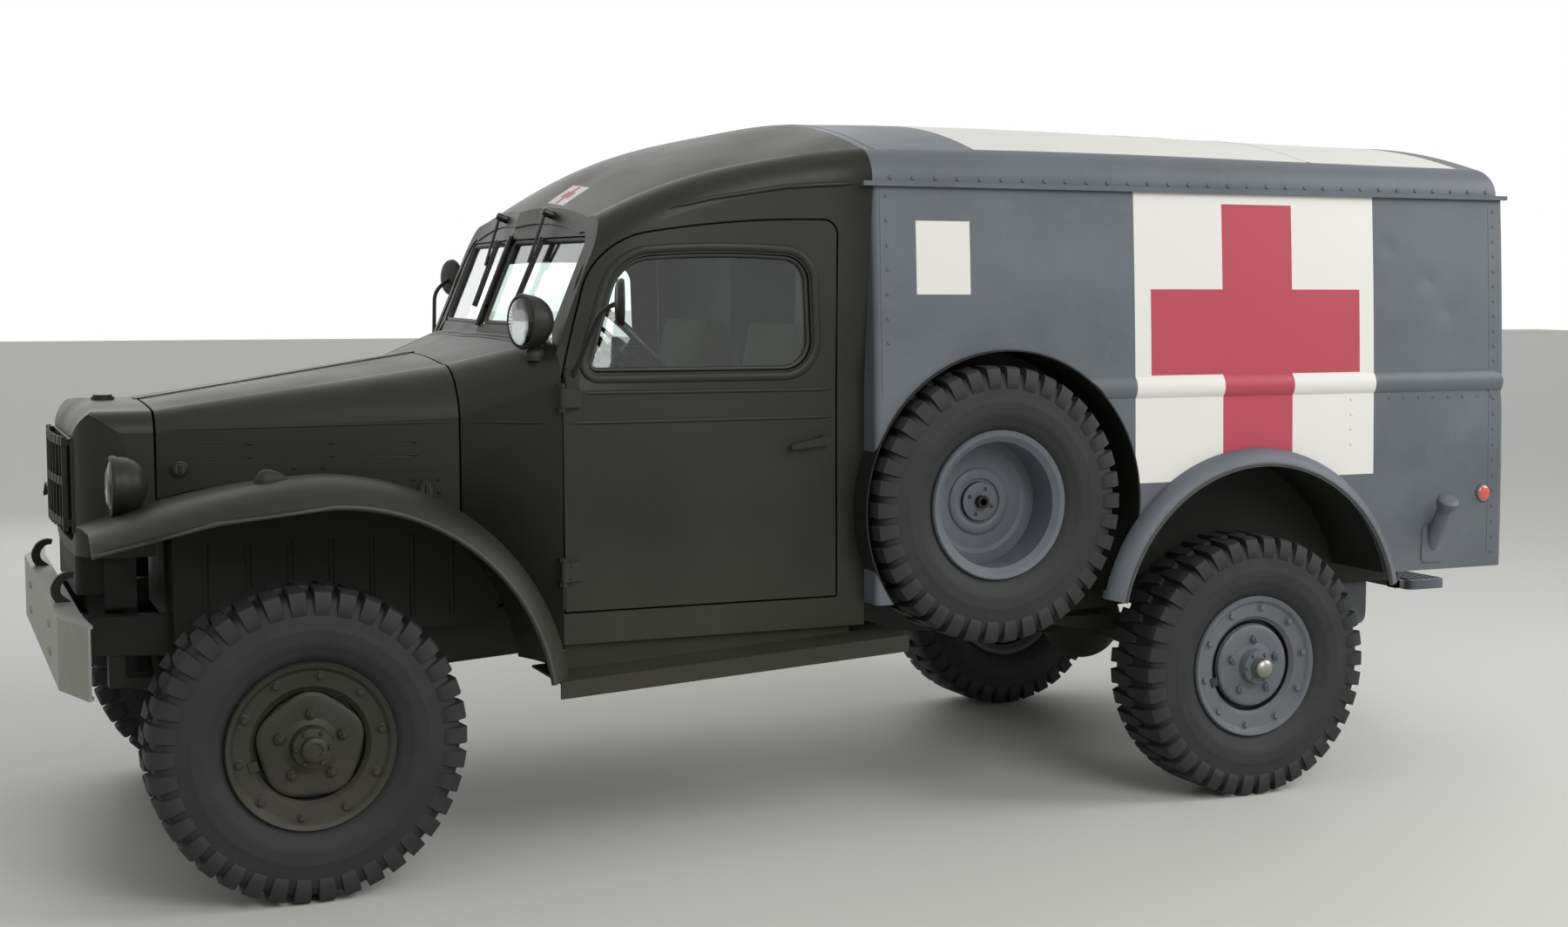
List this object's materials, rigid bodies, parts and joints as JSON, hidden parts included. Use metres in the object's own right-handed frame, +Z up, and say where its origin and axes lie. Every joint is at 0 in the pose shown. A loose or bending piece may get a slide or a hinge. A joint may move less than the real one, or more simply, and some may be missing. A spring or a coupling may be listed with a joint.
{
  "type": "military ambulance truck",
  "caption": "Military ambulance truck with a high enclosed body, steered front wheels, opening cab doors, rear doors and hood sides, and a spare wheel set in its left side.",
  "frame": {"origin": "on the ground, in the middle of the overall length and width", "axes": "+X towards the vehicle's rear, +Y towards its right, +Z up"},
  "size_m": [4.942, 2.098, 2.2132],
  "materials": {
    "olive_paint": "satin",
    "chassis_paint": "satin",
    "white_paint": "satin",
    "tyre_rubber": "matte",
    "window_glass": "polished",
    "seat_canvas": "matte",
    "hard_rubber": "satin",
    "iron": "rough"
  },
  "bodies": {
    "truck": {"box_roof": "olive_paint", "box_side_left": "olive_paint", "box_side_right": "olive_paint", "box_tub": "olive_paint", "brush_guard": "olive_paint", "cab_floor": "olive_paint", "cab_shell": "olive_paint", "cowl": "olive_paint", "engine_and_drive": "iron", "exhaust": "iron", "frame": "chassis_paint", "front_axle": "chassis_paint", "front_bumper": "white_paint", "front_fenders": "olive_paint", "fuel_tank": "chassis_paint", "lamps": "olive_paint", "leaf_springs": "chassis_paint", "nose_shell": "olive_paint", "radiator": "chassis_paint", "rear_axle": "chassis_paint", "rear_flares": "olive_paint", "rear_step": "olive_paint", "running_boards": "olive_paint", "seats": "seat_canvas", "steering_wheel": "hard_rubber", "tow_hooks": "olive_paint", "tyre_spare": "tyre_rubber", "wheel_spare": "olive_paint", "wheel_wells": "olive_paint", "windscreen": "window_glass"},
    "knuckle_left": {"knuckle_left": "chassis_paint"},
    "knuckle_right": {"knuckle_right": "chassis_paint"},
    "tie_rod": {"tie_rod": "chassis_paint"},
    "wheel_front_left": {"wheel_front_left": "olive_paint", "tyre_front_left": "tyre_rubber"},
    "wheel_front_right": {"wheel_front_right": "olive_paint", "tyre_front_right": "tyre_rubber"},
    "wheel_rear_left": {"wheel_rear_left": "olive_paint", "tyre_rear_left": "tyre_rubber"},
    "wheel_rear_right": {"wheel_rear_right": "olive_paint", "tyre_rear_right": "tyre_rubber"},
    "door_left": {"door_left": "olive_paint", "door_glass_left": "window_glass", "mirror_left": "olive_paint"},
    "door_right": {"door_right": "olive_paint", "door_glass_right": "window_glass", "mirror_right": "olive_paint"},
    "rear_door_left": {"rear_door_left": "olive_paint", "rear_glass_left": "window_glass"},
    "rear_door_right": {"rear_door_right": "olive_paint", "rear_glass_right": "window_glass"},
    "hood_left": {"hood_left": "olive_paint"},
    "hood_right": {"hood_right": "olive_paint"}
  },
  "joints": [
    {"name": "steer_left", "type": "hinge", "parent": "truck", "child": "knuckle_left", "pos_m": [-1.8, -0.69, 0.43], "axis": [0, 0, 1], "range_deg": [-30, 30]},
    {"name": "steer_right", "type": "hinge", "parent": "truck", "child": "knuckle_right", "pos_m": [-1.8, 0.69, 0.43], "axis": [0, 0, 1], "range_deg": [-30, 30]},
    {"name": "tie_rod_pivot", "type": "hinge", "parent": "knuckle_left", "child": "tie_rod", "pos_m": [-1.605, -0.69, 0.354], "axis": [0, 0, 1], "range_deg": [-30, 30]},
    {"name": "spin_front_left", "type": "hinge", "parent": "knuckle_left", "child": "wheel_front_left", "pos_m": [-1.8, -0.8225, 0.43], "axis": [0, 1, 0], "continuous": true},
    {"name": "spin_front_right", "type": "hinge", "parent": "knuckle_right", "child": "wheel_front_right", "pos_m": [-1.8, 0.8225, 0.43], "axis": [0, 1, 0], "continuous": true},
    {"name": "spin_rear_left", "type": "hinge", "parent": "truck", "child": "wheel_rear_left", "pos_m": [1.273, -0.8225, 0.43], "axis": [0, 1, 0], "continuous": true},
    {"name": "spin_rear_right", "type": "hinge", "parent": "truck", "child": "wheel_rear_right", "pos_m": [1.273, 0.8225, 0.43], "axis": [0, 1, 0], "continuous": true},
    {"name": "door_left_hinge", "type": "hinge", "parent": "truck", "child": "door_left", "pos_m": [-1.061, -0.828, 1], "axis": [0, 0, -1], "range_deg": [0, 70]},
    {"name": "door_right_hinge", "type": "hinge", "parent": "truck", "child": "door_right", "pos_m": [-1.061, 0.828, 1], "axis": [0, 0, 1], "range_deg": [0, 70]},
    {"name": "rear_door_left_hinge", "type": "hinge", "parent": "truck", "child": "rear_door_left", "pos_m": [2.329, -0.612, 1], "axis": [0, 0, -1], "range_deg": [0, 110]},
    {"name": "rear_door_right_hinge", "type": "hinge", "parent": "truck", "child": "rear_door_right", "pos_m": [2.329, 0.612, 1], "axis": [0, 0, 1], "range_deg": [0, 110]},
    {"name": "hood_left_hinge", "type": "hinge", "parent": "truck", "child": "hood_left", "pos_m": [-2.13, -0.018, 1.326], "axis": [-0.9881, 0, -0.1541], "range_deg": [0, 60]},
    {"name": "hood_right_hinge", "type": "hinge", "parent": "truck", "child": "hood_right", "pos_m": [-2.13, 0.018, 1.326], "axis": [0.9881, 0, 0.1541], "range_deg": [0, 60]}
  ],
  "couplings": [
    {"joint": "steer_right", "follows": "steer_left", "ratio": 1},
    {"joint": "tie_rod_pivot", "follows": "steer_left", "ratio": -1}
  ]
}
